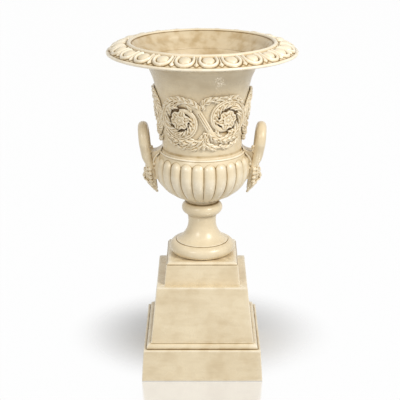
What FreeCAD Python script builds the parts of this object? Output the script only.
"""Campana garden urn with handles, standing on a separate square pedestal.

Frame: origin at the centre of the underside, +Z up, -Y towards the front, +X to the
right of someone standing in front. Sizes are in millimetres. Radii are taken from the
vertical axis, and azimuths from the front, positive towards +X.
"""
import FreeCAD, Part
import math
import os

V = FreeCAD.Vector
AXIS = V(0, 0, 1)
CENTRE = V(0, 0, 0)

# ---- Walls and clearances ----------------------------------------------------------
SQUARE_WALL = 14.0          # walls of the hollow square castings
SQUARE_DECK = 14.0          # their closed tops
PLINTH_WALL = 28.0          # wall of the plinth, thick enough to stand on
ROUND_WALL = 13.0           # wall of the neck and rim castings
SEAT_GAP = 0.3              # between castings that are bonded or bolted together
HANDLE_GAP = 0.5            # between the handles' plates and the crests of the gadroons
HOLE_GAP = 0.3              # radial, round a bolt, pin or rod in its hole
LIFT_GAP = 2.0              # each side of the block that centres the urn on its pedestal
PLUG_GAP = 0.05             # radial, round the drain plug in its hole
DRAIN_R = 20.0              # drain holes through the pedestal decks
CUT_PAST = 1.0              # how far a cutter runs past the face it opens
QUARTER_BOW = 1 - math.sqrt(0.5)  # rise of a quarter circle over its chord, for a radius of 1

# ---- Pedestal ----------------------------------------------------------------------
PAD_R = 10.0
PAD_PROUD = 1.0             # the pads lift the plinth this far
PAD_RECESS = 3.0
PAD_INSET = 16.0            # pad centre from the sides of the plinth
PLINTH_W_LOW = 337.3
PLINTH_W_TOP = 325.7
PLINTH_H = 90.3
PLINTH_ROUND = 2.5          # rounding of the plinth's top edge
MOULD_W = 309.5             # quarter-round moulding on the plinth
MOULD_H = 17.3
MOULD_ROUND = 10.6
DIE_W_LOW = 285.0
DIE_W_TOP = 251.0
DIE_H = 155.9
DIE_ROUND = 1.6
CORNER_POST_R = 15.0        # threaded posts inside the die that take the pedestal bolts
CORNER_POST_H = 60.0
CORNER_POST_INSET = 30.0    # post centre from the foot of the die's side
CENTRING_H = 12.0           # block on the die that the urn's foot drops over
CENTRING_TAPER = 2.0

# ---- Urn foot ----------------------------------------------------------------------
FOOT_W_LOW = 210.4
FOOT_W_TOP = 198.8
FOOT_H = 56.0
FOOT_CAP_W = 185.8
FOOT_CAP_H = 6.9

# ---- Socle and stem ----------------------------------------------------------------
SOCLE_TORUS_R = 91.5
SOCLE_TORUS_H = 36.1
SOCLE_CREASE_R = 72.0
SOCLE_RING_R = 71.2
SOCLE_RING_H = 3.5
STEM_FLARE_BOW = 8.48       # hollow curve from the ring in to the waist
STEM_TOP_BOW = 1.0          # hollow curve from the waist up to the collar
STEM_WAIST_R = 38.8
STEM_WAIST_UP = 53.0        # height of the waist above the ring
STEM_TOP_R = 42.5
STEM_TOP_UP = 23.0          # height of the stem's top above the waist
STEM_BORE_R = 29.0

# ---- Collar ------------------------------------------------------------------------
COLLAR_R = 57.0
COLLAR_BEAD_H = 34.0
COLLAR_NECK_R = 45.0
COLLAR_NECK_H = 7.0
COLLAR_NECK_BOW = 2.0

# ---- Bowl --------------------------------------------------------------------------
GADROONS = 24
GADROON_DEPTH = 5.0
GADROON_PHASE = 9.5         # azimuth of a lobe's middle
BELLY_R = 132.0
BELLY_UP = 93.0             # belly above the foot of the bowl
BELLY_DROP = 96.0           # vertical half-axis of the belly's lower quarter
BELLY_ARCS = 4
BOWL_SEAT_R = 48.0
HEAD_R = 128.0              # lobe crest where the lobes' round heads start
HEAD_UP = 32.0              # above the belly
HEAD_H = 8.0                # height over which the heads close
HEAD_CLOSE = 2.5            # how far the crest draws in over that height
HEAD_BOW = 1.2
SHOULDER_H = 10.0           # smooth shoulder above the heads
BOWL_TOP_R = 115.0
BEAD_OUT = 3.0              # bead at the top of the shoulder
BEAD_H = 3.3
BEAD_BOW = 1.5              # bulge of the shoulder up to the bead
BEAD_TOP_BOW = 1.0          # rounding of the bead itself
BOWL_MOUTH_R = 104.0
BOWL_WALL = 11.0            # at the bottom of a groove
BOWL_INSIDE_BOW = 14.4      # bulge of the inside from the floor up to the belly
MOUTH_INSIDE_BOW = 1.0
BELLY_LEVELS = (1.0, 0.86, 0.7, 0.5, 0.28, 0.0)  # sections, as shares of the lower curve
HEAD_GROOVE_SHARE = 0.85    # groove depth left where the round heads start
FLOOR_H = 20.0
FLOOR_R = 62.0

# ---- Neck --------------------------------------------------------------------------
SPIGOT_H = 10.0             # tongue under the neck, inside the bowl's mouth
NECK_FOOT_R = 112.5
NECK_COVE_H = 12.0
NECK_COVE_BOW = 1.2
NECK_LOW_R = 110.0
NECK_STRAIGHT_H = 16.0
NECK_TOP_R = 128.4
NECK_TAPER_H = 148.0
NECK_BELL_R = 141.3         # start of the bell-shaped flare
NECK_BELL_H = 44.0
NECK_BELL_BOW = 1.8
FLARE_R = 88.0              # radius of the flare's curve
FLARE_START = 19.8          # flare's slope from the vertical, in degrees: its start,
FLARE_SEAM = 38.5           # the seam between neck and rim,
FLARE_END = 77.6            # and its end under the rim
FLARE_INNER_END = 60.0      # where the inside leaves the flare for the lip

# ---- Rim ---------------------------------------------------------------------------
RIM_TOP_ABOVE_FLARE = 26.9  # top of the lip above the flare's end
LIP_IN_R = 191.0
LIP_OUT_R = 202.5
LIP_H = 6.0
OVOLO_IN_R = 207.0
OVOLO_OUT_R = 250.0
OVOLO_DROP = 17.0
BAND_R = 258.5
BAND_H = 6.0
BAND_STEP = 3.5             # top of the edge band below the ovolo
BAND_EASE = 2.0             # how far the band's edges draw in
BAND_BOW = 0.8
BAND_COVE_BOW = 1.0         # hollow between the band and the ovolo
OVOLO_BOW = 4.0             # bulge of the ovolo
MOUTH_BOW = 2.0             # bulge from the lip down to the flare's inside
UNDER_BAND = 2.5            # underside of the rim below the band
EGGS = 24
EGG_PHASE = 3.9
EGG_R = 20.0
EGG_PROUD = 7.0
SHELL_R = 23.0              # raised frame round each egg
SHELL_ROD_R = 3.2
DART_LENGTH = 34.0
DART_WIDE_R = 4.6
DART_TIP_R = 1.6
DART_SINK = 1.0             # axis of a dart below the slope
SHELL_SHIFT = 1.0           # frames sit this far up the slope from the eggs
CARVING_ROOT = 2.0          # the carving starts this far inside the rim

# ---- Openwork frieze ---------------------------------------------------------------
FRIEZE_SEGMENTS = 3         # castings round the neck, two scrolls on each
SCROLL_STEP = 60.0
SCROLL_PHASE = 2.0          # azimuth of the crossing between the front pair of scrolls
FRIEZE_STAND_OFF = 1.6      # gap between neck and frieze
FRIEZE_T = 5.0
FRIEZE_LOW = 22.0           # lower edge above the foot of the neck
FRIEZE_H = 157.0
SCROLL_UP = 110.0           # scroll centres above the foot of the neck
SCROLL_R = 56.0
SCROLL_BAND = 12.0
ROSETTE_R = 9.0
PETALS = 6
PETAL_R = 7.4
PETAL_OUT = 14.0
LEAF_LENGTH = 30.0
LEAF_WIDTH = 15.0
LEAVES_PER_SCROLL = 12
LEAF_TURN = 50.0            # leaves' slant from straight outwards, in degrees
INNER_LEAVES = 5
INNER_LEAF_START = 20.0
INNER_LEAF_TURN = 35.0
INNER_LEAF_LENGTH = 26.0
INNER_LEAF_WIDTH = 12.0
ARM_ANGLE = 60.0            # where the arm to the flower leaves the scroll, from its top
ARM_BAND = 9.6
LONG_LEAF = 60.0            # leaves that lie along the frieze's edges
LONG_LEAF_WIDTH = 17.0
SHORT_LEAF = 26.0
SHORT_LEAF_WIDTH = 12.0
CROSSING_RUN = 16.0         # half the sideways run of a slanting stem
LONG_LEAF_TURN = 98.0       # long leaves' slant from the vertical, in degrees
SHORT_LEAF_TURN = 66.0
STEM_BAND = 14.0
PIN_R = 2.0
PIN_BITE = 5.0              # how far a pin goes into the neck
PIN_IN_FRIEZE = 3.0

# ---- Handles and masks: one tilted frame on each side -------------------------------
MOUNT_R = 136.4             # the frame's origin, on the back of the mask
MOUNT_BELOW_BELLY = 27.0
MOUNT_TILT = 6.1            # degrees, leaning out at the top
GRIP_R = 12.0
GRIP_OUT = 11.0             # grip's centre line in front of the frame
GRIP_SPREAD = 38.0          # radius of the arch
GRIP_SPRING = 107.5         # where the arch springs, above the frame's origin
GRIP_FOOT_SPREAD = 20.0
GRIP_FOOT = 58.0
GRIP_LEG_BOW = 3.6
BRACKET_W = 40.0
BRACKET_FRONT = 21.0
BRACKET_LOW = 52.0          # underside of the bracket's nose, above the frame's origin
BRACKET_NOSE_H = 16.0
BRACKET_TOP = 75.0
BRACKET_CHIN = 5.0          # how far its nose is cut back below,
BRACKET_BROW = 3.0          # and above
BRACKET_BACK = 2.0          # where its hollow top edge starts behind the grip,
BRACKET_DIP = 12.0          # and how deep the hollow reaches towards the urn
BRACKET_LIFT = 6.0          # rise of its top edge towards the urn
BRACKET_DEEP = 45.0         # reach towards the neck, before it is fitted to the urn
PLATE_LOW = -5.0
HEAD_SIZE_R = 31.0          # roundness of the head
HEAD_HALF_H = 40.0
HEAD_MIDDLE = 12.0
HEAD_SINK = 7.0             # its axis behind the mask's flat back
BEARD_R = 24.0
BEARD_HALF_H = 30.0
BEARD_MIDDLE = -20.0
BEARD_SINK = 8.0
BEARD_LEAN = 0.12           # the beard juts out towards its tips, by this slope
CURL_R = 8.5
CURLS = 9
CURL_RING_R = 29.0
CURL_RING_STRETCH = 1.05
LOCK_LENGTH = 46.0
LOCK_R = 7.0
LOCK_SPREAD = 27.0
LOCK_LEAN = 0.25            # slope of the side locks in towards the beard
TIP_LENGTH = 20.0
TIP_R = 7.0
TIPS = 3
TIP_PITCH = 1.5             # spacing of the beard's tips, in their own radii
TIP_UP = 12.0               # root of a tip above the beard's lower end
TIP_FAN = 60.0              # length over which the tips fan out by their spacing
TIP_TUCK = 0.15             # slope of the tips back towards the urn
NOSE_R = 5.0
NOSE_HALF_H = 10.0
NOSE_OUT = 21.0
NOSE_LEAN = 0.25
BROW_R = 3.6
BROW_W = 30.0
BROW_UP = 24.0
BROW_OUT = 18.0

# ---- Fixings -----------------------------------------------------------------------
BOLT_R = 4.0
BOLT_HEAD_FLATS = 13.0
BOLT_HEAD_H = 5.3
WASHER_R = 9.0
WASHER_T = 1.6
PEDESTAL_BOLT_LENGTH = 42.0
HANDLE_BOLT_SPREAD = 12.0   # bolts each side of the handle's middle
HANDLE_BOLT_UP = 5.0        # above the belly
HANDLE_BOLT_IN_MASK = 10.0
SPOT_FACE = 0.2             # depth of the flat cut inside the bowl for a washer
SPOT_FACE_EDGE = 1.0        # and how far it runs past the washer
ROD_R = 5.0
ROD_NUT_FLATS = 17.0
ROD_NUT_H = 8.0
ROD_OVERHANG = 4.0          # rod past each nut
ROD_WASHER_R = 13.0
ROD_WASHER_T = 2.0
GASKET_T = 2.0
CLAMP_WASHER_R = 16.0
CLAMP_WASHER_T = 4.0
PLUG_HOLE_R = 5.5
PLUG_OUT = 22.0             # plug's axis from the urn's axis
PLUG_FLANGE_R = 8.0
PLUG_FLANGE_T = 3.0
PLUG_KNOB_R = 4.0
PLUG_KNOB_H = 9.0
WEEP_R = 4.0
WEEP_HOLES = 4
WEEP_TURN = 45.0            # azimuth of the first of them

# ---- Heights, worked out from the pieces that stand on each other -------------------
Z_PLINTH = PAD_PROUD
Z_MOULD = Z_PLINTH + PLINTH_H
Z_DIE = Z_MOULD + MOULD_H
Z_FOOT = Z_DIE + DIE_H
Z_FOOT_CAP = Z_FOOT + FOOT_H
Z_SOCLE = Z_FOOT_CAP + FOOT_CAP_H
Z_RING = Z_SOCLE + SOCLE_TORUS_H
Z_STEM = Z_RING + SOCLE_RING_H
Z_WAIST = Z_STEM + STEM_WAIST_UP
Z_COLLAR = Z_WAIST + STEM_TOP_UP
Z_BOWL = Z_COLLAR + COLLAR_BEAD_H + COLLAR_NECK_H
Z_FLOOR = Z_BOWL + FLOOR_H
Z_BELLY = Z_BOWL + BELLY_UP
Z_HEAD = Z_BELLY + HEAD_UP
Z_SHOULDER = Z_HEAD + HEAD_H
Z_NECK = Z_SHOULDER + SHOULDER_H
Z_TAPER = Z_NECK + NECK_COVE_H + NECK_STRAIGHT_H
Z_TAPER_TOP = Z_TAPER + NECK_TAPER_H
Z_BELL = Z_TAPER_TOP + NECK_BELL_H
FLARE_CENTRE_R = NECK_BELL_R + FLARE_R * math.cos(math.radians(FLARE_START))
FLARE_CENTRE_Z = Z_BELL - FLARE_R * math.sin(math.radians(FLARE_START))
Z_LIP = FLARE_CENTRE_Z + FLARE_R * math.sin(math.radians(FLARE_END)) + RIM_TOP_ABOVE_FLARE
Z_FRIEZE = Z_NECK + FRIEZE_LOW
Z_SCROLL = Z_NECK + SCROLL_UP
Z_MOUNT = Z_BELLY - MOUNT_BELOW_BELLY


# ---- Shape helpers -----------------------------------------------------------------
def edges_of(outline):
    """Lines and arcs through (a, b) or (a, b, bow) points, closed, in the XZ plane.

    The bow is how far the edge that arrives at a point bulges to the right of its way.
    """
    edges = []
    for index, point in enumerate(outline):
        start = outline[index - 1]
        bow = point[2] if len(point) > 2 else 0.0
        a = V(start[0], 0, start[1])
        b = V(point[0], 0, point[1])
        if bow:
            way = (b - a).normalize()
            middle = (a + b) * 0.5 + V(way.z, 0, -way.x) * bow
            edges.append(Part.Arc(a, middle, b).toShape())
        else:
            edges.append(Part.LineSegment(a, b).toShape())
    return edges


def face_of(outline):
    """A flat face in the XZ plane inside an outline."""
    return Part.Face(Part.Wire(edges_of(outline)))


def turned(outline):
    """A solid of revolution about the vertical axis from a (radius, height) outline."""
    return face_of(outline).revolve(CENTRE, AXIS, 360)


def squared(half_profile):
    """A mitred square block from (half width, height, bow) points, lowest first."""
    mirrored = [(-point[0], point[1]) for point in half_profile]
    bows = [point[2] if len(point) > 2 else 0.0 for point in half_profile]
    left = []
    for index in range(len(mirrored) - 1, -1, -1):
        bow = bows[index + 1] if index + 1 < len(bows) else 0.0
        left.append(mirrored[index] + (bow,))
    face = face_of(list(half_profile) + left)
    reach = max(point[0] for point in half_profile) + 1.0
    slab = face.extrude(V(0, 2 * reach, 0))
    slab.translate(V(0, -reach, 0))
    across = slab.copy()
    across.rotate(CENTRE, AXIS, 90)
    return slab.common(across)


def cylinder(radius, height, x, y, z, way=AXIS):
    """A round bar that starts at (x, y, z) and runs along a direction."""
    return Part.makeCylinder(radius, height, V(x, y, z), way)


def hexagon(flats, height, x, y, z, way=AXIS):
    """A hexagonal bar, like a nut or a bolt's head, that starts at (x, y, z)."""
    corner_r = flats / math.sqrt(3)
    points = []
    for index in range(7):
        angle = math.radians(60 * index)
        points.append(V(corner_r * math.cos(angle), corner_r * math.sin(angle), 0))
    bar = Part.Face(Part.makePolygon(points)).extrude(V(0, 0, height))
    bar.Placement = FreeCAD.Placement(V(x, y, z), FreeCAD.Rotation(AXIS, way))
    return bar


def at_azimuth(shape, azimuth):
    """A copy of a shape made at the front, turned to its azimuth."""
    turned_copy = shape.copy()
    turned_copy.rotate(CENTRE, AXIS, azimuth)
    return turned_copy


def on_circle(radius, azimuth, height):
    """The point at a radius, azimuth and height."""
    angle = math.radians(azimuth)
    return V(radius * math.sin(angle), -radius * math.cos(angle), height)


def egg_shape(radius, half_length, middle, way):
    """An ellipsoid of revolution, longer than it is wide, about a direction."""
    ellipse = Part.Ellipse(V(0, 0, half_length), V(radius, 0, 0), CENTRE)
    curve = Part.ArcOfEllipse(ellipse, 0, math.pi)
    closing = Part.LineSegment(V(0, 0, -half_length), V(0, 0, half_length)).toShape()
    solid = Part.Face(Part.Wire([curve.toShape(), closing])).revolve(CENTRE, AXIS, 360)
    solid.Placement = FreeCAD.Placement(middle, FreeCAD.Rotation(AXIS, way))
    return solid


def joined(shapes):
    """Overlapping shapes made one."""
    return shapes[0].multiFuse(shapes[1:])


def built_up(shapes):
    """Overlapping shapes made one, a shape at a time, for rounded forms."""
    whole = shapes[0]
    for shape in shapes[1:]:
        whole = whole.fuse(shape)
    return whole


# ---- Pedestal ----------------------------------------------------------------------
def pad_places():
    """Centres of the four pads under the plinth."""
    out = PLINTH_W_LOW / 2 - PAD_INSET
    return [(x, y) for x in (-out, out) for y in (-out, out)]


def post_places():
    """Centres of the four corner posts and bolts."""
    out = DIE_W_LOW / 2 - CORNER_POST_INSET
    return [(x, y) for x in (-out, out) for y in (-out, out)]


def base_pads():
    """Four rubber pads set into the underside of the plinth."""
    height = PAD_PROUD + PAD_RECESS - SEAT_GAP
    return Part.makeCompound([cylinder(PAD_R, height, x, y, 0) for x, y in pad_places()])


def pedestal_base():
    """Hollow plinth with its quarter-round moulding, open below."""
    outside = squared([
        (PLINTH_W_LOW / 2, Z_PLINTH),
        (PLINTH_W_TOP / 2, Z_MOULD - PLINTH_ROUND),
        (PLINTH_W_TOP / 2 - PLINTH_ROUND, Z_MOULD, PLINTH_ROUND * QUARTER_BOW),
        (MOULD_W / 2, Z_MOULD),
        (MOULD_W / 2, Z_DIE - MOULD_ROUND),
        (MOULD_W / 2 - MOULD_ROUND, Z_DIE, MOULD_ROUND * QUARTER_BOW)])
    hollow = squared([
        (PLINTH_W_LOW / 2 - PLINTH_WALL, Z_PLINTH - CUT_PAST),
        (MOULD_W / 2 - PLINTH_WALL, Z_DIE - SQUARE_DECK)])
    holes = [hollow, deck_hole(DRAIN_R, 0, 0, Z_DIE)]
    for x, y in pad_places():
        holes.append(cylinder(PAD_R + HOLE_GAP, PAD_RECESS + CUT_PAST, x, y, Z_PLINTH - CUT_PAST))
    for x, y in post_places():
        holes.append(deck_hole(BOLT_R + HOLE_GAP, x, y, Z_DIE))
    return outside.cut(holes)


def deck_hole(radius, x, y, top):
    """The cutter for a hole through a deck whose top is given."""
    return cylinder(radius, SQUARE_DECK + 2 * CUT_PAST, x, y, top - SQUARE_DECK - CUT_PAST)


def pedestal_die():
    """Hollow tapering block with corner posts below and a centring block on top."""
    half_low = DIE_W_LOW / 2
    half_top = DIE_W_TOP / 2
    outside = squared([
        (half_low, Z_DIE),
        (half_top, Z_FOOT - DIE_ROUND),
        (half_top - DIE_ROUND, Z_FOOT, DIE_ROUND * QUARTER_BOW)])
    hollow = squared([
        (half_low - SQUARE_WALL, Z_DIE - CUT_PAST),
        (half_top - SQUARE_WALL, Z_FOOT - SQUARE_DECK)])
    shell = outside.cut(hollow)
    half_block = FOOT_W_LOW / 2 - SQUARE_WALL - LIFT_GAP
    block = squared([
        (half_block, Z_FOOT - SQUARE_DECK / 2),
        (half_block, Z_FOOT),
        (half_block - CENTRING_TAPER, Z_FOOT + CENTRING_H)])
    posts = []
    for x, y in post_places():
        posts.append(cylinder(CORNER_POST_R, CORNER_POST_H, x, y, Z_DIE))
    shape = joined([shell, block] + posts).common(outside.fuse(block))
    holes = [cylinder(DRAIN_R, SQUARE_DECK + CENTRING_H + 2 * CUT_PAST, 0, 0,
                      Z_FOOT - SQUARE_DECK - CUT_PAST)]
    for x, y in post_places():
        holes.append(cylinder(BOLT_R + HOLE_GAP, PEDESTAL_BOLT_LENGTH - SQUARE_DECK, x, y, Z_DIE))
    return shape.cut(holes)


def pedestal_bolts():
    """Four bolts from inside the base up into the posts of the die."""
    z_head = Z_DIE - SQUARE_DECK - WASHER_T
    bolts = []
    for x, y in post_places():
        shank = cylinder(BOLT_R, PEDESTAL_BOLT_LENGTH + WASHER_T - HOLE_GAP, x, y, z_head)
        head = hexagon(BOLT_HEAD_FLATS, BOLT_HEAD_H, x, y, z_head - BOLT_HEAD_H)
        bolts.append(shank.fuse(head))
    return Part.makeCompound(bolts)


def pedestal_washers():
    """A washer under the head of each pedestal bolt."""
    z = Z_DIE - SQUARE_DECK - WASHER_T
    rings = []
    for x, y in post_places():
        hole = cylinder(BOLT_R + HOLE_GAP, WASHER_T, x, y, z)
        rings.append(cylinder(WASHER_R, WASHER_T, x, y, z).cut(hole))
    return Part.makeCompound(rings)


# ---- Foot, socle and collar --------------------------------------------------------
def weep_places():
    """Azimuths of the drain holes round the tie rod."""
    return [WEEP_TURN + 360 / WEEP_HOLES * index for index in range(WEEP_HOLES)]


def foot_block():
    """Hollow square foot that drops over the centring block."""
    cap_round = (FOOT_W_TOP - FOOT_CAP_W) / 2
    outside = squared([
        (FOOT_W_LOW / 2, Z_FOOT),
        (FOOT_W_TOP / 2, Z_FOOT_CAP),
        (FOOT_CAP_W / 2, Z_SOCLE, cap_round * QUARTER_BOW)])
    hollow = squared([
        (FOOT_W_LOW / 2 - SQUARE_WALL, Z_FOOT - CUT_PAST),
        (FOOT_W_TOP / 2 - SQUARE_WALL, Z_SOCLE - SQUARE_DECK)])
    holes = [hollow, deck_hole(ROD_R + HOLE_GAP, 0, 0, Z_SOCLE)]
    for azimuth in weep_places():
        place = on_circle(PLUG_OUT, azimuth, 0)
        holes.append(deck_hole(WEEP_R, place.x, place.y, Z_SOCLE))
    return outside.cut(holes)


def socle():
    """Torus, ring and trumpet-shaped stem in one hollow casting."""
    half = SOCLE_TORUS_H / 2
    flat_r = SOCLE_TORUS_R - half
    return turned([
        (STEM_BORE_R, Z_SOCLE),
        (flat_r, Z_SOCLE),
        (flat_r, Z_RING, half),
        (SOCLE_CREASE_R, Z_RING),
        (SOCLE_RING_R, Z_STEM),
        (STEM_WAIST_R, Z_WAIST, -STEM_FLARE_BOW),
        (STEM_TOP_R, Z_COLLAR, -STEM_TOP_BOW),
        (STEM_BORE_R, Z_COLLAR)])


def stem_collar():
    """Half-round collar with a short neck under the bowl."""
    half = COLLAR_BEAD_H / 2
    flat_r = COLLAR_R - half
    z_neck = Z_COLLAR + COLLAR_BEAD_H
    return turned([
        (STEM_BORE_R, Z_COLLAR),
        (flat_r, Z_COLLAR),
        (flat_r, z_neck, half),
        (COLLAR_NECK_R, z_neck),
        (COLLAR_NECK_R, Z_BOWL, COLLAR_NECK_BOW),
        (STEM_BORE_R, Z_BOWL)])


# ---- Bowl --------------------------------------------------------------------------
def lobed_wire(height, crest_r, depth):
    """A closed ring of arcs, one to a gadroon."""
    pitch = 360.0 / GADROONS
    arcs = []
    for index in range(GADROONS):
        middle = GADROON_PHASE + pitch * index
        a = on_circle(crest_r - depth, middle - pitch / 2, height)
        b = on_circle(crest_r, middle, height)
        c = on_circle(crest_r - depth, middle + pitch / 2, height)
        arcs.append(Part.Arc(a, b, c).toShape())
    return Part.Wire(arcs)


def belly_point(angle):
    """Radius and height of the lobes' crest on the lower quarter of the belly."""
    turn = math.radians(angle)
    return BELLY_R * math.cos(turn), Z_BELLY - BELLY_DROP * math.sin(turn)


def belly_seat_angle():
    """Where the belly's curve has narrowed to the seat of the bowl."""
    return math.degrees(math.acos(BOWL_SEAT_R / BELLY_R))


def gadrooned_body():
    """The lobed belly, from the seat to the closed heads of the lobes."""
    wires = []
    low = belly_seat_angle()
    for share in BELLY_LEVELS:
        radius, height = belly_point(low * share)
        wires.append(lobed_wire(height, radius, GADROON_DEPTH * radius / BELLY_R))
    wires.append(lobed_wire(Z_HEAD - HEAD_UP / 2, BELLY_R - (BELLY_R - HEAD_R) / 4, GADROON_DEPTH))
    wires.append(lobed_wire(Z_HEAD, HEAD_R, GADROON_DEPTH * HEAD_GROOVE_SHARE))
    wires.append(lobed_wire(Z_SHOULDER, HEAD_R - HEAD_CLOSE, 0.0))
    return Part.makeLoft(wires, True, False)


def shoulder_profile(clearance):
    """Outline of the smooth shoulder, from the closed heads up to the seat of the neck."""
    return [(BOWL_TOP_R + BEAD_OUT + clearance, Z_NECK - BEAD_H + clearance, BEAD_BOW),
            (BOWL_TOP_R + clearance, Z_NECK + clearance, BEAD_TOP_BOW)]


def belly_profile(clearance):
    """Outline of the belly's crest from the seat up, as arcs that keep close to it."""
    step = belly_seat_angle() / BELLY_ARCS
    points = []
    for index in range(BELLY_ARCS, 0, -1):
        start_r, start_z = belly_point(step * index)
        end_r, end_z = belly_point(step * (index - 1))
        middle_r, middle_z = belly_point(step * (index - 0.5))
        bow = math.hypot(middle_r - (start_r + end_r) / 2, middle_z - (start_z + end_z) / 2)
        points.append((end_r + clearance, end_z, bow))
    return points


def bowl_envelope(clearance):
    """A plain solid just outside the crests of the bowl and the foot of the neck."""
    radius, height = belly_point(belly_seat_angle())
    return turned([
        (0.0, height),
        (radius + clearance, height)] + belly_profile(clearance) + [
        (HEAD_R + clearance, Z_HEAD, HEAD_BOW),
        (HEAD_R - HEAD_CLOSE + clearance, Z_SHOULDER, HEAD_BOW)] + shoulder_profile(clearance) + [
        (NECK_FOOT_R + clearance, Z_NECK + NECK_COVE_H),
        (NECK_LOW_R + clearance, Z_TAPER),
        (NECK_TOP_R + clearance, Z_TAPER_TOP),
        (0.0, Z_TAPER_TOP)])


def bowl():
    """Gadrooned bowl with a flat floor, a drain hole and a mouth for the neck."""
    seat_r, seat_z = belly_point(belly_seat_angle())
    seat_r -= GADROON_DEPTH
    foot = turned([(0.0, Z_BOWL), (COLLAR_NECK_R, Z_BOWL), (seat_r, seat_z), (0.0, seat_z)])
    shoulder = turned([
        (BOWL_MOUTH_R - ROUND_WALL, Z_SHOULDER),
        (HEAD_R - HEAD_CLOSE, Z_SHOULDER)] + shoulder_profile(0.0) + [
        (BOWL_MOUTH_R - ROUND_WALL, Z_NECK)])
    inner_r = BELLY_R - GADROON_DEPTH - BOWL_WALL
    inside = turned([
        (0.0, Z_FLOOR),
        (FLOOR_R, Z_FLOOR),
        (inner_r, Z_BELLY, BOWL_INSIDE_BOW),
        (inner_r, Z_HEAD),
        (BOWL_MOUTH_R, Z_NECK - SPIGOT_H - SEAT_GAP, MOUTH_INSIDE_BOW),
        (BOWL_MOUTH_R, Z_NECK + CUT_PAST),
        (0.0, Z_NECK + CUT_PAST)])
    body = joined([gadrooned_body(), foot, shoulder])
    deep = FLOOR_H + 2 * CUT_PAST
    holes = [inside,
             cylinder(ROD_R + HOLE_GAP, deep, 0, 0, Z_BOWL - CUT_PAST),
             cylinder(PLUG_HOLE_R, deep, PLUG_OUT, 0, Z_BOWL - CUT_PAST)]
    for side in (-1, 1):
        for y in (-HANDLE_BOLT_SPREAD, HANDLE_BOLT_SPREAD):
            z = Z_BELLY + HANDLE_BOLT_UP
            way = V(side, 0, 0)
            holes.append(cylinder(BOLT_R + HOLE_GAP, BELLY_R, side * FLOOR_R, y, z, way))
            holes.append(cylinder(WASHER_R + SPOT_FACE_EDGE, inner_r + SPOT_FACE - FLOOR_R,
                                  side * FLOOR_R, y, z, way))
    return body.cut(holes)


# ---- Neck and rim ------------------------------------------------------------------
def flare_point(angle, outward=0.0):
    """A point of the flare; outward is measured into the wall, towards the inside."""
    turn = math.radians(angle)
    reach = FLARE_R + outward
    return FLARE_CENTRE_R - reach * math.cos(turn), FLARE_CENTRE_Z + reach * math.sin(turn)


def flare_bow(start, end, outward=0.0):
    """Rise of the flare's arc between two of its angles."""
    return (FLARE_R + outward) * (1 - math.cos(math.radians((end - start) / 2)))


def neck_r(height):
    """Outer radius of the tapering part of the neck."""
    share = (height - Z_TAPER) / NECK_TAPER_H
    return NECK_LOW_R + (NECK_TOP_R - NECK_LOW_R) * share


def neck():
    """Tapering neck with a tongue below and the first part of the flare above."""
    seam = flare_point(FLARE_SEAM)
    seam_in = flare_point(FLARE_SEAM, ROUND_WALL)
    bell_in = flare_point(FLARE_START, ROUND_WALL)
    spigot_r = BOWL_MOUTH_R - SEAT_GAP
    shape = turned([
        (NECK_LOW_R - ROUND_WALL, Z_NECK - SPIGOT_H),
        (spigot_r, Z_NECK - SPIGOT_H),
        (spigot_r, Z_NECK),
        (NECK_FOOT_R, Z_NECK),
        (NECK_LOW_R, Z_NECK + NECK_COVE_H, -NECK_COVE_BOW),
        (NECK_LOW_R, Z_TAPER),
        (NECK_TOP_R, Z_TAPER_TOP),
        (NECK_BELL_R, Z_BELL, -NECK_BELL_BOW),
        seam + (-flare_bow(FLARE_START, FLARE_SEAM),),
        seam_in,
        bell_in + (flare_bow(FLARE_START, FLARE_SEAM, ROUND_WALL),),
        (NECK_TOP_R - ROUND_WALL, Z_TAPER_TOP, NECK_BELL_BOW),
        (NECK_LOW_R - ROUND_WALL, Z_TAPER)])
    holes = []
    for azimuth, height in pin_places():
        start = on_circle(neck_r(height) - PIN_BITE, azimuth, height)
        holes.append(radial_bar(PIN_R, PIN_BITE + CUT_PAST, start, azimuth))
    return shape.cut(holes)


def radial_bar(radius, length, start, azimuth):
    """A round bar that runs straight out from the axis."""
    return Part.makeCylinder(radius, length, start, on_circle(1.0, azimuth, 0))


def slope_frame(azimuth):
    """Placement on the middle of the rim's ovolo: X along the rim, Z out of it."""
    run = OVOLO_OUT_R - OVOLO_IN_R
    tilt = math.degrees(math.atan2(OVOLO_DROP, run))
    middle_r = (OVOLO_IN_R + OVOLO_OUT_R) / 2
    middle_z = Z_LIP - LIP_H - OVOLO_DROP / 2
    place = FreeCAD.Placement(V(0, -middle_r, middle_z), FreeCAD.Rotation(V(1, 0, 0), tilt))
    return FreeCAD.Placement(CENTRE, FreeCAD.Rotation(AXIS, azimuth)).multiply(place)


def rim_carving():
    """Eggs in their raised frames, and the darts between them."""
    pitch = 360.0 / EGGS
    pieces = []
    for index in range(EGGS):
        azimuth = EGG_PHASE + pitch * index
        egg = Part.makeSphere(EGG_R, V(0, 0, EGG_PROUD - EGG_R))
        frame = Part.makeTorus(SHELL_R, SHELL_ROD_R, V(0, SHELL_SHIFT, 0), AXIS)
        for shape in (egg, frame):
            shape.Placement = slope_frame(azimuth).multiply(shape.Placement)
            pieces.append(shape)
        root = V(0, DART_LENGTH / 2, -DART_SINK)
        dart = Part.makeCone(DART_WIDE_R, DART_TIP_R, DART_LENGTH, root, V(0, -1, 0))
        dart.Placement = slope_frame(azimuth + pitch / 2).multiply(dart.Placement)
        pieces.append(dart)
    return pieces


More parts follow.
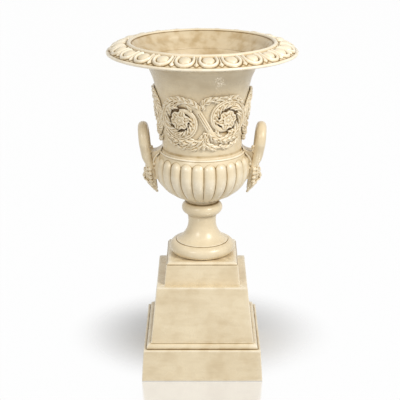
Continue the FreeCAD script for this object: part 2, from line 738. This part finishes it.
def rim():
    """Everted rim: rounded lip, carved ovolo and edge band."""
    end = flare_point(FLARE_END)
    seam = flare_point(FLARE_SEAM)
    seam_in = flare_point(FLARE_SEAM, ROUND_WALL)
    inner = flare_point(FLARE_INNER_END, ROUND_WALL)
    z_ovolo = Z_LIP - LIP_H
    z_low = z_ovolo - OVOLO_DROP
    z_band = z_low - BAND_STEP
    plain = turned([
        seam,
        end + (-flare_bow(FLARE_SEAM, FLARE_END),),
        (OVOLO_OUT_R, z_band - BAND_H - UNDER_BAND),
        (BAND_R - BAND_EASE, z_band - BAND_H),
        (BAND_R, z_band - BAND_H / 2, BAND_BOW),
        (BAND_R - BAND_EASE, z_band, BAND_BOW),
        (OVOLO_OUT_R, z_low, -BAND_COVE_BOW),
        (OVOLO_IN_R, z_ovolo, OVOLO_BOW),
        (LIP_OUT_R, z_ovolo),
        (LIP_IN_R, z_ovolo, LIP_H),
        inner + (MOUTH_BOW,),
        seam_in + (flare_bow(FLARE_SEAM, FLARE_INNER_END, ROUND_WALL),)])
    limit = turned([
        (LIP_OUT_R, z_ovolo - CARVING_ROOT),
        (OVOLO_OUT_R, z_band - CARVING_ROOT),
        (BAND_R, z_band - CARVING_ROOT),
        (BAND_R, Z_LIP),
        (LIP_OUT_R, Z_LIP)])
    carving = [piece.common(limit) for piece in rim_carving()]
    return plain.multiFuse(carving)


# ---- Openwork frieze ---------------------------------------------------------------
def pierced(faces, azimuth):
    """Flat shapes of the frieze joined and pushed out through it at an azimuth."""
    sheet = Part.Shell(joined(faces).Faces).removeSplitter()
    bar = sheet.extrude(V(0, -NECK_TOP_R, 0))
    bar.translate(V(0, -NECK_LOW_R / 2, 0))
    return at_azimuth(bar, azimuth)


def disc(x, z, radius):
    """A round shape of the frieze."""
    return face_of([(x - radius, z, radius), (x + radius, z, radius)])


def ring(x, z, radius, band):
    """A round band of the frieze, seen from its middle line."""
    return disc(x, z, radius + band / 2).cut(disc(x, z, radius - band / 2))


def leaf(x, z, angle, length, width):
    """A pointed leaf from its root, along an angle from +X towards +Z."""
    turn = math.radians(angle)
    tip = (x + length * math.cos(turn), z + length * math.sin(turn))
    return face_of([tip + (width / 2,), (x, z, width / 2)])


def band_between(start, end, width):
    """A straight stem between two (x, z) points."""
    way = V(end[0] - start[0], 0, end[1] - start[1]).normalize()
    side = V(-way.z, 0, way.x) * (width / 2)
    corners = [(start[0] + side.x, start[1] + side.z), (start[0] - side.x, start[1] - side.z),
               (end[0] - side.x, end[1] - side.z), (end[0] + side.x, end[1] + side.z)]
    return face_of(corners)


def scroll(hand):
    """One scroll with its flower and leaves, in the middle of the front."""
    x = 0.0
    z = Z_SCROLL
    shapes = [ring(x, z, SCROLL_R - SCROLL_BAND / 2, SCROLL_BAND), disc(x, z, ROSETTE_R)]
    for index in range(PETALS):
        turn = math.radians(90 + 360 / PETALS * index)
        shapes.append(disc(x + PETAL_OUT * math.cos(turn), z + PETAL_OUT * math.sin(turn), PETAL_R))
    arm_turn = math.radians(90 + hand * ARM_ANGLE)
    arm_r = SCROLL_R - SCROLL_BAND / 2
    arm = (x + arm_r * math.cos(arm_turn), z + arm_r * math.sin(arm_turn))
    shapes.append(band_between(arm, (x, z + hand * PETAL_R), ARM_BAND))
    for index in range(LEAVES_PER_SCROLL):
        angle = 360 / LEAVES_PER_SCROLL * index
        turn = math.radians(angle)
        root = SCROLL_R - SCROLL_BAND
        shapes.append(leaf(x + root * math.cos(turn), z + root * math.sin(turn),
                           angle + hand * LEAF_TURN, LEAF_LENGTH, LEAF_WIDTH))
    for index in range(INNER_LEAVES):
        angle = 360 / INNER_LEAVES * index + INNER_LEAF_START
        turn = math.radians(angle)
        root = SCROLL_R - SCROLL_BAND / 2
        shapes.append(leaf(x + root * math.cos(turn), z + root * math.sin(turn),
                           angle + 180 - hand * INNER_LEAF_TURN, INNER_LEAF_LENGTH, INNER_LEAF_WIDTH))
    return shapes


def crossing(hand):
    """Slanting stem between two scrolls, with leaves above and below it."""
    top = (-hand * CROSSING_RUN, Z_FRIEZE + FRIEZE_H - STEM_BAND)
    low = (hand * CROSSING_RUN, Z_FRIEZE + STEM_BAND)
    shapes = [band_between(top, low, STEM_BAND)]
    for side in (-1, 1):
        shapes.append(leaf(top[0], top[1], 90 - side * LONG_LEAF_TURN, LONG_LEAF, LONG_LEAF_WIDTH))
        shapes.append(leaf(top[0], top[1], 90 - side * SHORT_LEAF_TURN, SHORT_LEAF, SHORT_LEAF_WIDTH))
        shapes.append(leaf(low[0], low[1], side * LONG_LEAF_TURN - 90, LONG_LEAF, LONG_LEAF_WIDTH))
        shapes.append(leaf(low[0], low[1], side * SHORT_LEAF_TURN - 90, SHORT_LEAF, SHORT_LEAF_WIDTH))
    return shapes


def frieze_shell():
    """The band of space that the frieze fills, all round the neck."""
    near = FRIEZE_STAND_OFF
    far = near + FRIEZE_T
    top = Z_FRIEZE + FRIEZE_H
    return turned([
        (neck_r(Z_FRIEZE) + near, Z_FRIEZE),
        (neck_r(Z_FRIEZE) + far, Z_FRIEZE),
        (neck_r(top) + far, top),
        (neck_r(top) + near, top)])


def sector(start, end):
    """A wedge of space between two azimuths, tall and wide enough for the frieze."""
    face = Part.Face(Part.makePolygon([
        V(0, 0, Z_NECK), V(0, -BAND_R, Z_NECK), V(0, -BAND_R, Z_LIP), V(0, 0, Z_LIP), V(0, 0, Z_NECK)]))
    return at_azimuth(face.revolve(CENTRE, AXIS, end - start), start)


def pin_places():
    """Azimuth and height of each pin, behind the flowers."""
    return [(SCROLL_PHASE + SCROLL_STEP * (index - 0.5), Z_SCROLL)
            for index in range(2 * FRIEZE_SEGMENTS)]


def frieze_segment():
    """The front casting: two mirrored scrolls and the stems round them."""
    half = SCROLL_STEP / 2
    sheets = [pierced(crossing(1), SCROLL_PHASE)]
    for hand in (-1, 1):
        sheets.append(pierced(scroll(hand), SCROLL_PHASE + hand * half))
        sheets.append(pierced(crossing(-1), SCROLL_PHASE + hand * SCROLL_STEP))
    seam = math.degrees(SEAT_GAP / 2 / NECK_LOW_R)
    space = frieze_shell().common(sector(SCROLL_PHASE - SCROLL_STEP + seam,
                                         SCROLL_PHASE + SCROLL_STEP - seam))
    segment = joined([sheet.common(space) for sheet in sheets])
    holes = []
    for hand in (-1, 1):
        azimuth = SCROLL_PHASE + hand * half
        start = on_circle(neck_r(Z_SCROLL), azimuth, Z_SCROLL)
        depth = FRIEZE_STAND_OFF + PIN_IN_FRIEZE + HOLE_GAP
        holes.append(radial_bar(PIN_R + HOLE_GAP, depth, start, azimuth))
    return segment.cut(holes)


def frieze_pins():
    """Pins that hold the frieze off the neck."""
    length = PIN_BITE - HOLE_GAP + FRIEZE_STAND_OFF + PIN_IN_FRIEZE
    pins = []
    for azimuth, height in pin_places():
        start = on_circle(neck_r(height) - PIN_BITE + HOLE_GAP, azimuth, height)
        pins.append(radial_bar(PIN_R, length, start, azimuth))
    return Part.makeCompound(pins)


# ---- Handles and masks -------------------------------------------------------------
def mount_frame():
    """Placement of the tilted frame on the right: X to the rear, Y up, Z outwards."""
    upright = FreeCAD.Rotation(V(0, 1, 0), V(0, 0, 1), V(1, 0, 0), "ZYX")
    tilt = FreeCAD.Rotation(V(0, 1, 0), MOUNT_TILT)
    return FreeCAD.Placement(V(MOUNT_R, 0, Z_MOUNT), tilt.multiply(upright))


def mounted(shape):
    """Move a shape from the tilted frame to the right side of the urn."""
    moved = shape.copy()
    moved.Placement = mount_frame().multiply(moved.Placement)
    return moved


def opposite(shape):
    """The same casting turned round to the left side."""
    return at_azimuth(shape, 180)


def grip():
    """Round bar bent to an arch, in the tilted frame."""
    def place(x, y):
        """A point of the grip's centre line."""
        return V(x, y, GRIP_OUT)

    path = []
    foot_out = GRIP_FOOT_SPREAD
    lean = V(GRIP_SPREAD - foot_out, GRIP_SPRING - GRIP_FOOT, 0).normalize()
    for side in (-1, 1):
        foot = place(side * foot_out, GRIP_FOOT)
        spring = place(side * GRIP_SPREAD, GRIP_SPRING)
        outward = V(side * lean.y, -lean.x, 0) * GRIP_LEG_BOW
        path.append(Part.Arc(foot, (foot + spring) * 0.5 + outward, spring).toShape())
    crown = Part.Arc(place(-GRIP_SPREAD, GRIP_SPRING), place(0, GRIP_SPRING + GRIP_SPREAD),
                     place(GRIP_SPREAD, GRIP_SPRING)).toShape()
    spine = Part.Wire([path[0], crown, path[1]])
    start = place(-foot_out, GRIP_FOOT)
    section = Part.Wire(Part.makeCircle(GRIP_R, start, path[0].tangentAt(0)))
    return spine.makePipeShell([section], True, True)


def bracket():
    """Bracket and plate, from their side profile and width, in the tilted frame."""
    profile = [
        V(0, PLATE_LOW, 0),
        V(0, BRACKET_LOW, 0),
        V(0, BRACKET_LOW, BRACKET_FRONT - BRACKET_CHIN),
        V(0, BRACKET_LOW + BRACKET_NOSE_H, BRACKET_FRONT),
        V(0, BRACKET_TOP, BRACKET_FRONT - BRACKET_BROW),
        V(0, BRACKET_TOP + BRACKET_BACK, BRACKET_BACK),
        V(0, BRACKET_TOP, -BRACKET_DIP),
        V(0, BRACKET_TOP + BRACKET_LIFT, -BRACKET_DEEP),
        V(0, PLATE_LOW, -BRACKET_DEEP),
        V(0, PLATE_LOW, 0)]
    block = Part.Face(Part.makePolygon(profile)).extrude(V(BRACKET_W, 0, 0))
    block.translate(V(-BRACKET_W / 2, 0, 0))
    return block


def handle():
    """Arched handle, its bracket and the plate behind the mask, on the right side."""
    shape = mounted(grip().fuse(bracket()))
    shape = shape.cut([bowl_envelope(HANDLE_GAP)] + bolt_bores(HOLE_GAP))
    return shape.removeSplitter()


def head_shapes():
    """Head, beard, hair and plain features of the mask, in the tilted frame."""
    up = V(0, 1, 0)
    shapes = [egg_shape(HEAD_SIZE_R, HEAD_HALF_H, V(0, HEAD_MIDDLE, -HEAD_SINK), up),
              egg_shape(BEARD_R, BEARD_HALF_H, V(0, BEARD_MIDDLE, -BEARD_SINK), V(0, 1, -BEARD_LEAN)),
              egg_shape(NOSE_R, NOSE_HALF_H, V(0, HEAD_MIDDLE, NOSE_OUT), V(0, 1, -NOSE_LEAN)),
              cylinder(BROW_R, BROW_W, -BROW_W / 2, BROW_UP, BROW_OUT, V(1, 0, 0))]
    for index in range(CURLS):
        angle = math.radians(180.0 * index / (CURLS - 1))
        x = CURL_RING_R * math.cos(angle)
        y = HEAD_MIDDLE + CURL_RING_R * CURL_RING_STRETCH * math.sin(angle)
        shapes.append(Part.makeSphere(CURL_R, V(x, y, CURL_R / 2)))
    for side in (-1, 1):
        middle = V(side * LOCK_SPREAD, HEAD_MIDDLE - LOCK_LENGTH / 2, LOCK_R / 2)
        shapes.append(egg_shape(LOCK_R, LOCK_LENGTH / 2, middle, V(-side * LOCK_LEAN, 1, 0)))
    for index in range(TIPS):
        x = (index - (TIPS - 1) / 2) * TIP_R * TIP_PITCH
        root = V(x, BEARD_MIDDLE - BEARD_HALF_H + TIP_UP, TIP_R)
        way = V(x / TIP_FAN, -1, -TIP_TUCK)
        shapes.append(Part.makeCone(TIP_R, TIP_R / 4, TIP_LENGTH, root, way))
    return shapes


def mask():
    """Bearded mask on the plate of the right handle."""
    solid = built_up(head_shapes())
    back = Part.makeBox(4 * HEAD_SIZE_R, 6 * HEAD_SIZE_R, 2 * HEAD_SIZE_R,
                        V(-2 * HEAD_SIZE_R, -3 * HEAD_SIZE_R, -2 * HEAD_SIZE_R))
    nose = Part.makeBox(BRACKET_W + 2 * SEAT_GAP, BRACKET_TOP, 2 * BRACKET_FRONT,
                        V(-BRACKET_W / 2 - SEAT_GAP, BRACKET_LOW - SEAT_GAP, -CUT_PAST))
    shape = mounted(solid.cut([back, nose]))
    return shape.cut([bowl_envelope(HANDLE_GAP)] + bolt_bores(HOLE_GAP))


def bolt_seat_x():
    """Distance from the axis of the flat that a handle bolt's washer sits on."""
    return BELLY_R - GADROON_DEPTH - BOWL_WALL + SPOT_FACE


def bolt_tip_x():
    """Distance from the axis of a handle bolt's end, inside the mask."""
    lean = math.tan(math.radians(MOUNT_TILT))
    return MOUNT_R + (MOUNT_BELOW_BELLY + HANDLE_BOLT_UP) * lean + HANDLE_BOLT_IN_MASK


def bolt_bores(gap):
    """Cutters for the two bolts of the right handle."""
    z = Z_BELLY + HANDLE_BOLT_UP
    length = bolt_tip_x() + gap - bolt_seat_x()
    bores = []
    for y in (-HANDLE_BOLT_SPREAD, HANDLE_BOLT_SPREAD):
        bores.append(cylinder(BOLT_R + gap, length, bolt_seat_x(), y, z, V(1, 0, 0)))
    return bores


def handle_bolts():
    """Two bolts a side from inside the bowl, through the bracket, into the mask."""
    z = Z_BELLY + HANDLE_BOLT_UP
    start = bolt_seat_x() - WASHER_T
    bolts = []
    for y in (-HANDLE_BOLT_SPREAD, HANDLE_BOLT_SPREAD):
        shank = cylinder(BOLT_R, bolt_tip_x() - start, start, y, z, V(1, 0, 0))
        head = hexagon(BOLT_HEAD_FLATS, BOLT_HEAD_H, start, y, z, V(-1, 0, 0))
        bolt = shank.fuse(head)
        bolts += [bolt, opposite(bolt)]
    return Part.makeCompound(bolts)


def handle_washers():
    """A washer under the head of each handle bolt."""
    z = Z_BELLY + HANDLE_BOLT_UP
    start = bolt_seat_x() - WASHER_T
    rings = []
    for y in (-HANDLE_BOLT_SPREAD, HANDLE_BOLT_SPREAD):
        disc_shape = cylinder(WASHER_R, WASHER_T, start, y, z, V(1, 0, 0))
        hole = cylinder(BOLT_R + HOLE_GAP, WASHER_T, start, y, z, V(1, 0, 0))
        washer = disc_shape.cut(hole)
        rings += [washer, opposite(washer)]
    return Part.makeCompound(rings)


# ---- Tie rod and drain -------------------------------------------------------------
def rod_ring(radius, thickness, z):
    """A flat ring round the tie rod."""
    return cylinder(radius, thickness, 0, 0, z).cut(cylinder(ROD_R + HOLE_GAP, thickness, 0, 0, z))


def z_clamp_nut():
    """Underside of the nut below the foot."""
    return Z_SOCLE - SQUARE_DECK - CLAMP_WASHER_T - ROD_NUT_H


def z_floor_nut():
    """Underside of the nut above the bowl's floor."""
    return Z_FLOOR + GASKET_T + ROD_WASHER_T


def rod_nut(z):
    """A hexagonal nut round the tie rod."""
    return hexagon(ROD_NUT_FLATS, ROD_NUT_H, 0, 0, z).cut(
        cylinder(ROD_R + HOLE_GAP, ROD_NUT_H, 0, 0, z))


def tie_rod():
    """Threaded rod, drawn plain, that clamps foot, socle, collar and bowl together."""
    low = z_clamp_nut() - ROD_OVERHANG
    high = z_floor_nut() + ROD_NUT_H + ROD_OVERHANG
    return cylinder(ROD_R, high - low, 0, 0, low)


def drain_plug():
    """Rubber plug with a pull knob, in the floor of the bowl."""
    shank = cylinder(PLUG_HOLE_R - PLUG_GAP, FLOOR_H, PLUG_OUT, 0, Z_BOWL)
    flange = cylinder(PLUG_FLANGE_R, PLUG_FLANGE_T, PLUG_OUT, 0, Z_FLOOR)
    knob = cylinder(PLUG_KNOB_R, PLUG_KNOB_H, PLUG_OUT, 0, Z_FLOOR)
    return joined([shank, flange, knob])


def pieces():
    """Every node of the object by its name."""
    segment = frieze_segment()
    right_handle = handle()
    right_mask = mask()
    return {
        "base_pads": base_pads(),
        "pedestal_base": pedestal_base(),
        "pedestal_die": pedestal_die(),
        "pedestal_bolts": pedestal_bolts(),
        "pedestal_washers": pedestal_washers(),
        "foot_block": foot_block(),
        "socle": socle(),
        "stem_collar": stem_collar(),
        "bowl": bowl(),
        "neck": neck(),
        "rim": rim(),
        "frieze_front": segment,
        "frieze_rear_right": at_azimuth(segment, 360 / FRIEZE_SEGMENTS),
        "frieze_rear_left": at_azimuth(segment, -360 / FRIEZE_SEGMENTS),
        "frieze_pins": frieze_pins(),
        "handle_right": right_handle,
        "handle_left": opposite(right_handle),
        "mask_right": right_mask,
        "mask_left": opposite(right_mask),
        "handle_bolts": handle_bolts(),
        "handle_washers": handle_washers(),
        "tie_rod": tie_rod(),
        "clamp_nut": rod_nut(z_clamp_nut()),
        "clamp_washer": rod_ring(CLAMP_WASHER_R, CLAMP_WASHER_T, Z_SOCLE - SQUARE_DECK - CLAMP_WASHER_T),
        "floor_gasket": rod_ring(ROD_WASHER_R, GASKET_T, Z_FLOOR),
        "floor_washer": rod_ring(ROD_WASHER_R, ROD_WASHER_T, Z_FLOOR + GASKET_T),
        "floor_nut": rod_nut(z_floor_nut()),
        "drain_plug": drain_plug(),
    }


os.makedirs("parts", exist_ok=True)
for name, shape in pieces().items():
    shape.exportStep("parts/" + name + ".step")
    box = shape.BoundBox
    print("%-18s solids %2d  valid %s  volume %8.1f cm3  z %.1f to %.1f  r %.1f" % (
        name, len(shape.Solids), shape.isValid(), shape.Volume / 1000, box.ZMin, box.ZMax,
        max(abs(box.XMin), box.XMax)))
